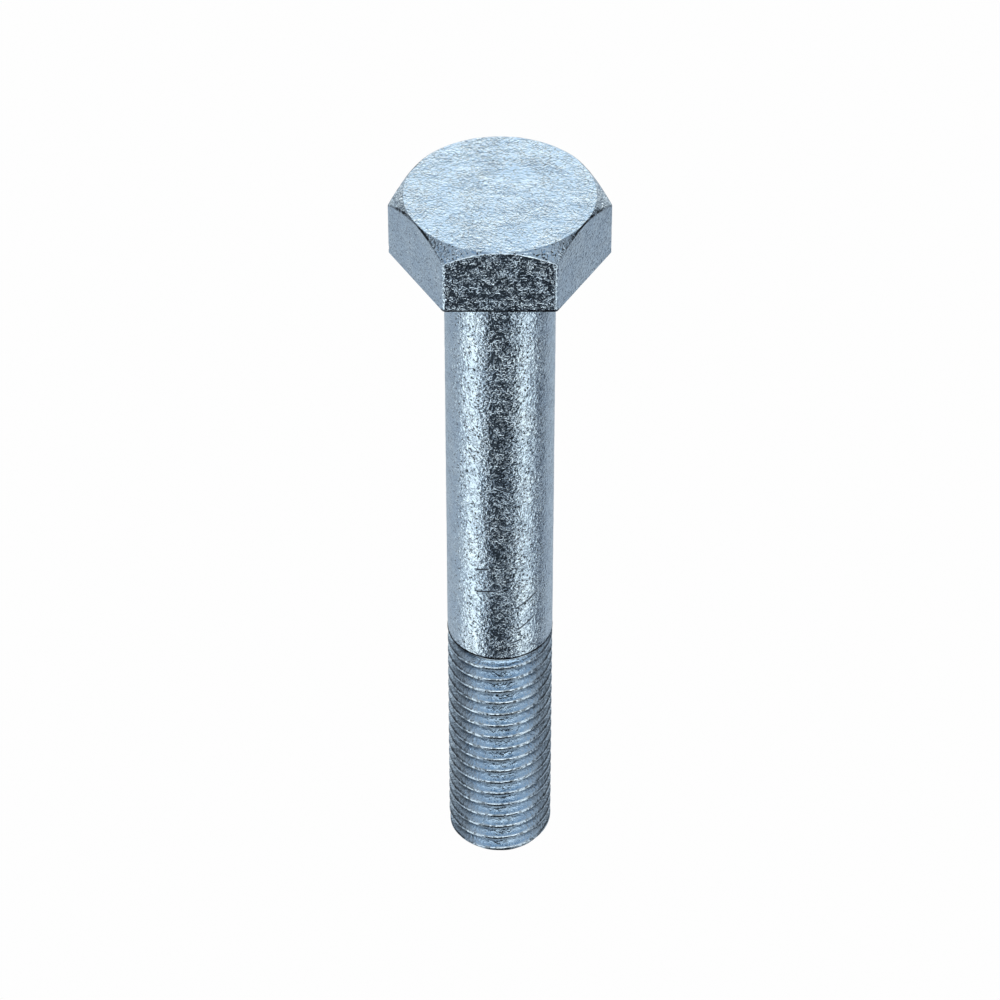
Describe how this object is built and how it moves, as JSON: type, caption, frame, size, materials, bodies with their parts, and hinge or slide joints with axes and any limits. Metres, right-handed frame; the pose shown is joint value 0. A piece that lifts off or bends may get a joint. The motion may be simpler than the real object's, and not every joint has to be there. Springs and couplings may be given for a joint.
{
  "type": "hex bolt",
  "caption": "Hex head bolt with a plain shank, a coarse right-hand thread towards the tip and a zinc-plated steel finish.",
  "frame": {"origin": "centre of the flat end face at the threaded tip, where the bolt stands", "axes": "+Z along the bolt's axis from the tip to the head; one flat of the hexagon faces -Y, and two of its corners lie on the X axis"},
  "size_m": [0.0196, 0.017, 0.0765],
  "materials": {
    "zinc_plated_steel": "bluish bright zinc plating over as-forged steel, finely pitted, semi-gloss"
  },
  "bodies": {
    "root": {"hex_head": "zinc_plated_steel", "plain_shank": "zinc_plated_steel", "thread": "zinc_plated_steel"}
  },
  "joints": []
}
